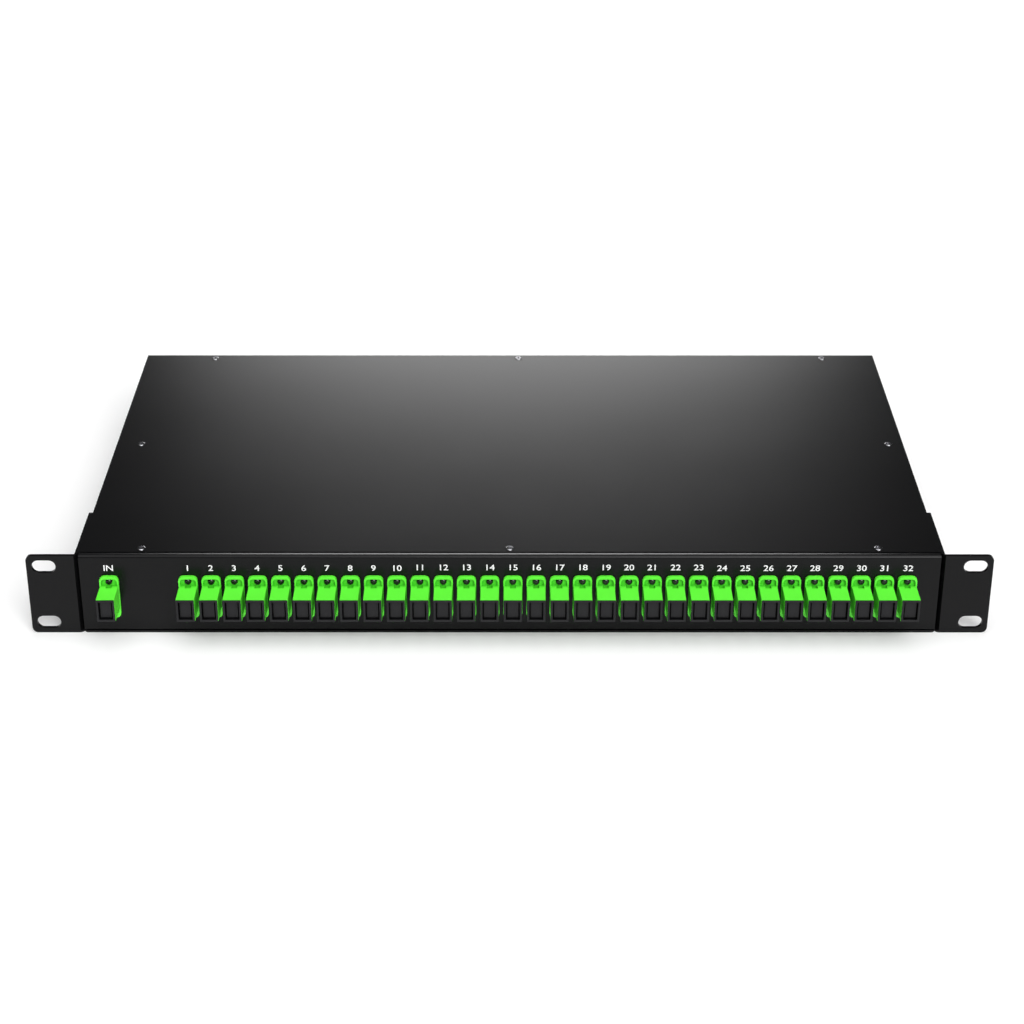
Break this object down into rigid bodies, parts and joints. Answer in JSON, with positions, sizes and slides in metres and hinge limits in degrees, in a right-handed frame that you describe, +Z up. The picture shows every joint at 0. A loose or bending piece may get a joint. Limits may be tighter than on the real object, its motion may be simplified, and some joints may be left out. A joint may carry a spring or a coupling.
{
  "type": "rack-mount fibre splitter",
  "caption": "Flat black rack-mount box that splits an optical fibre, with a row of upright green fibre adapters, pull-off dust caps and slotted rack ears.",
  "frame": {"origin": "below the middle of the overall box, on the plane of the underside", "axes": "+X to the right seen from the front, -Y the way the ports face, +Z up"},
  "size_m": [0.4826, 0.2666, 0.0444],
  "materials": {
    "black_powder_coat": "fine-grained satin black powder coat on sheet steel",
    "black_screw_steel": "black-plated steel",
    "green_adapter_plastic": "smooth bright green moulded plastic",
    "black_cap_plastic": "soft satin black moulded plastic",
    "white_ceramic": "polished white ceramic",
    "green_connector_plastic": "smooth green moulded plastic",
    "bare_aluminium": "plain aluminium case",
    "black_rubber": "matte black rubber",
    "black_reel_plastic": "matte black moulded plastic",
    "white_fibre_plastic": "smooth white plastic"
  },
  "bodies": {
    "chassis": {"base_tray": "black_powder_coat", "front_panel": "black_powder_coat", "top_cover": "black_powder_coat", "rack_ears": "black_powder_coat", "floor_screws": "black_screw_steel", "cover_screws": "black_screw_steel", "ear_screws": "black_screw_steel", "input_adapter": "green_adapter_plastic", "adapter_screws": "black_screw_steel", "alignment_sleeves": "white_ceramic", "pigtail_connectors": "green_connector_plastic", "splitter_module": "bare_aluminium", "module_boots": "black_rubber", "module_clamp": "black_powder_coat", "fibre_reels": "black_reel_plastic", "fibre_clips": "white_fibre_plastic", "output_fibre_bundle": "white_fibre_plastic", "input_fibre": "white_fibre_plastic", "fibre_tails": "white_fibre_plastic", "output_adapters_1_to_8": "green_adapter_plastic", "output_adapters_9_to_16": "green_adapter_plastic", "output_adapters_17_to_24": "green_adapter_plastic", "output_adapters_25_to_32": "green_adapter_plastic"},
    "input_dust_cap_body": {"input_dust_cap": "black_cap_plastic"},
    "output_dust_cap_1_body": {"output_dust_cap_1": "black_cap_plastic"},
    "output_dust_cap_2_body": {"output_dust_cap_2": "black_cap_plastic"},
    "output_dust_cap_3_body": {"output_dust_cap_3": "black_cap_plastic"},
    "output_dust_cap_4_body": {"output_dust_cap_4": "black_cap_plastic"},
    "output_dust_cap_5_body": {"output_dust_cap_5": "black_cap_plastic"},
    "output_dust_cap_6_body": {"output_dust_cap_6": "black_cap_plastic"},
    "output_dust_cap_7_body": {"output_dust_cap_7": "black_cap_plastic"},
    "output_dust_cap_8_body": {"output_dust_cap_8": "black_cap_plastic"},
    "output_dust_cap_9_body": {"output_dust_cap_9": "black_cap_plastic"},
    "output_dust_cap_10_body": {"output_dust_cap_10": "black_cap_plastic"},
    "output_dust_cap_11_body": {"output_dust_cap_11": "black_cap_plastic"},
    "output_dust_cap_12_body": {"output_dust_cap_12": "black_cap_plastic"},
    "output_dust_cap_13_body": {"output_dust_cap_13": "black_cap_plastic"},
    "output_dust_cap_14_body": {"output_dust_cap_14": "black_cap_plastic"},
    "output_dust_cap_15_body": {"output_dust_cap_15": "black_cap_plastic"},
    "output_dust_cap_16_body": {"output_dust_cap_16": "black_cap_plastic"},
    "output_dust_cap_17_body": {"output_dust_cap_17": "black_cap_plastic"},
    "output_dust_cap_18_body": {"output_dust_cap_18": "black_cap_plastic"},
    "output_dust_cap_19_body": {"output_dust_cap_19": "black_cap_plastic"},
    "output_dust_cap_20_body": {"output_dust_cap_20": "black_cap_plastic"},
    "output_dust_cap_21_body": {"output_dust_cap_21": "black_cap_plastic"},
    "output_dust_cap_22_body": {"output_dust_cap_22": "black_cap_plastic"},
    "output_dust_cap_23_body": {"output_dust_cap_23": "black_cap_plastic"},
    "output_dust_cap_24_body": {"output_dust_cap_24": "black_cap_plastic"},
    "output_dust_cap_25_body": {"output_dust_cap_25": "black_cap_plastic"},
    "output_dust_cap_26_body": {"output_dust_cap_26": "black_cap_plastic"},
    "output_dust_cap_27_body": {"output_dust_cap_27": "black_cap_plastic"},
    "output_dust_cap_28_body": {"output_dust_cap_28": "black_cap_plastic"},
    "output_dust_cap_29_body": {"output_dust_cap_29": "black_cap_plastic"},
    "output_dust_cap_30_body": {"output_dust_cap_30": "black_cap_plastic"},
    "output_dust_cap_31_body": {"output_dust_cap_31": "black_cap_plastic"},
    "output_dust_cap_32_body": {"output_dust_cap_32": "black_cap_plastic"}
  },
  "joints": [
    {"name": "input_dust_cap_pull", "type": "slide", "parent": "chassis", "child": "input_dust_cap_body", "axis": [0, -1, 0], "range_m": [0, 0.02]},
    {"name": "output_dust_cap_1_pull", "type": "slide", "parent": "chassis", "child": "output_dust_cap_1_body", "axis": [0, -1, 0], "range_m": [0, 0.02]},
    {"name": "output_dust_cap_2_pull", "type": "slide", "parent": "chassis", "child": "output_dust_cap_2_body", "axis": [0, -1, 0], "range_m": [0, 0.02]},
    {"name": "output_dust_cap_3_pull", "type": "slide", "parent": "chassis", "child": "output_dust_cap_3_body", "axis": [0, -1, 0], "range_m": [0, 0.02]},
    {"name": "output_dust_cap_4_pull", "type": "slide", "parent": "chassis", "child": "output_dust_cap_4_body", "axis": [0, -1, 0], "range_m": [0, 0.02]},
    {"name": "output_dust_cap_5_pull", "type": "slide", "parent": "chassis", "child": "output_dust_cap_5_body", "axis": [0, -1, 0], "range_m": [0, 0.02]},
    {"name": "output_dust_cap_6_pull", "type": "slide", "parent": "chassis", "child": "output_dust_cap_6_body", "axis": [0, -1, 0], "range_m": [0, 0.02]},
    {"name": "output_dust_cap_7_pull", "type": "slide", "parent": "chassis", "child": "output_dust_cap_7_body", "axis": [0, -1, 0], "range_m": [0, 0.02]},
    {"name": "output_dust_cap_8_pull", "type": "slide", "parent": "chassis", "child": "output_dust_cap_8_body", "axis": [0, -1, 0], "range_m": [0, 0.02]},
    {"name": "output_dust_cap_9_pull", "type": "slide", "parent": "chassis", "child": "output_dust_cap_9_body", "axis": [0, -1, 0], "range_m": [0, 0.02]},
    {"name": "output_dust_cap_10_pull", "type": "slide", "parent": "chassis", "child": "output_dust_cap_10_body", "axis": [0, -1, 0], "range_m": [0, 0.02]},
    {"name": "output_dust_cap_11_pull", "type": "slide", "parent": "chassis", "child": "output_dust_cap_11_body", "axis": [0, -1, 0], "range_m": [0, 0.02]},
    {"name": "output_dust_cap_12_pull", "type": "slide", "parent": "chassis", "child": "output_dust_cap_12_body", "axis": [0, -1, 0], "range_m": [0, 0.02]},
    {"name": "output_dust_cap_13_pull", "type": "slide", "parent": "chassis", "child": "output_dust_cap_13_body", "axis": [0, -1, 0], "range_m": [0, 0.02]},
    {"name": "output_dust_cap_14_pull", "type": "slide", "parent": "chassis", "child": "output_dust_cap_14_body", "axis": [0, -1, 0], "range_m": [0, 0.02]},
    {"name": "output_dust_cap_15_pull", "type": "slide", "parent": "chassis", "child": "output_dust_cap_15_body", "axis": [0, -1, 0], "range_m": [0, 0.02]},
    {"name": "output_dust_cap_16_pull", "type": "slide", "parent": "chassis", "child": "output_dust_cap_16_body", "axis": [0, -1, 0], "range_m": [0, 0.02]},
    {"name": "output_dust_cap_17_pull", "type": "slide", "parent": "chassis", "child": "output_dust_cap_17_body", "axis": [0, -1, 0], "range_m": [0, 0.02]},
    {"name": "output_dust_cap_18_pull", "type": "slide", "parent": "chassis", "child": "output_dust_cap_18_body", "axis": [0, -1, 0], "range_m": [0, 0.02]},
    {"name": "output_dust_cap_19_pull", "type": "slide", "parent": "chassis", "child": "output_dust_cap_19_body", "axis": [0, -1, 0], "range_m": [0, 0.02]},
    {"name": "output_dust_cap_20_pull", "type": "slide", "parent": "chassis", "child": "output_dust_cap_20_body", "axis": [0, -1, 0], "range_m": [0, 0.02]},
    {"name": "output_dust_cap_21_pull", "type": "slide", "parent": "chassis", "child": "output_dust_cap_21_body", "axis": [0, -1, 0], "range_m": [0, 0.02]},
    {"name": "output_dust_cap_22_pull", "type": "slide", "parent": "chassis", "child": "output_dust_cap_22_body", "axis": [0, -1, 0], "range_m": [0, 0.02]},
    {"name": "output_dust_cap_23_pull", "type": "slide", "parent": "chassis", "child": "output_dust_cap_23_body", "axis": [0, -1, 0], "range_m": [0, 0.02]},
    {"name": "output_dust_cap_24_pull", "type": "slide", "parent": "chassis", "child": "output_dust_cap_24_body", "axis": [0, -1, 0], "range_m": [0, 0.02]},
    {"name": "output_dust_cap_25_pull", "type": "slide", "parent": "chassis", "child": "output_dust_cap_25_body", "axis": [0, -1, 0], "range_m": [0, 0.02]},
    {"name": "output_dust_cap_26_pull", "type": "slide", "parent": "chassis", "child": "output_dust_cap_26_body", "axis": [0, -1, 0], "range_m": [0, 0.02]},
    {"name": "output_dust_cap_27_pull", "type": "slide", "parent": "chassis", "child": "output_dust_cap_27_body", "axis": [0, -1, 0], "range_m": [0, 0.02]},
    {"name": "output_dust_cap_28_pull", "type": "slide", "parent": "chassis", "child": "output_dust_cap_28_body", "axis": [0, -1, 0], "range_m": [0, 0.02]},
    {"name": "output_dust_cap_29_pull", "type": "slide", "parent": "chassis", "child": "output_dust_cap_29_body", "axis": [0, -1, 0], "range_m": [0, 0.02]},
    {"name": "output_dust_cap_30_pull", "type": "slide", "parent": "chassis", "child": "output_dust_cap_30_body", "axis": [0, -1, 0], "range_m": [0, 0.02]},
    {"name": "output_dust_cap_31_pull", "type": "slide", "parent": "chassis", "child": "output_dust_cap_31_body", "axis": [0, -1, 0], "range_m": [0, 0.02]},
    {"name": "output_dust_cap_32_pull", "type": "slide", "parent": "chassis", "child": "output_dust_cap_32_body", "axis": [0, -1, 0], "range_m": [0, 0.02]}
  ]
}
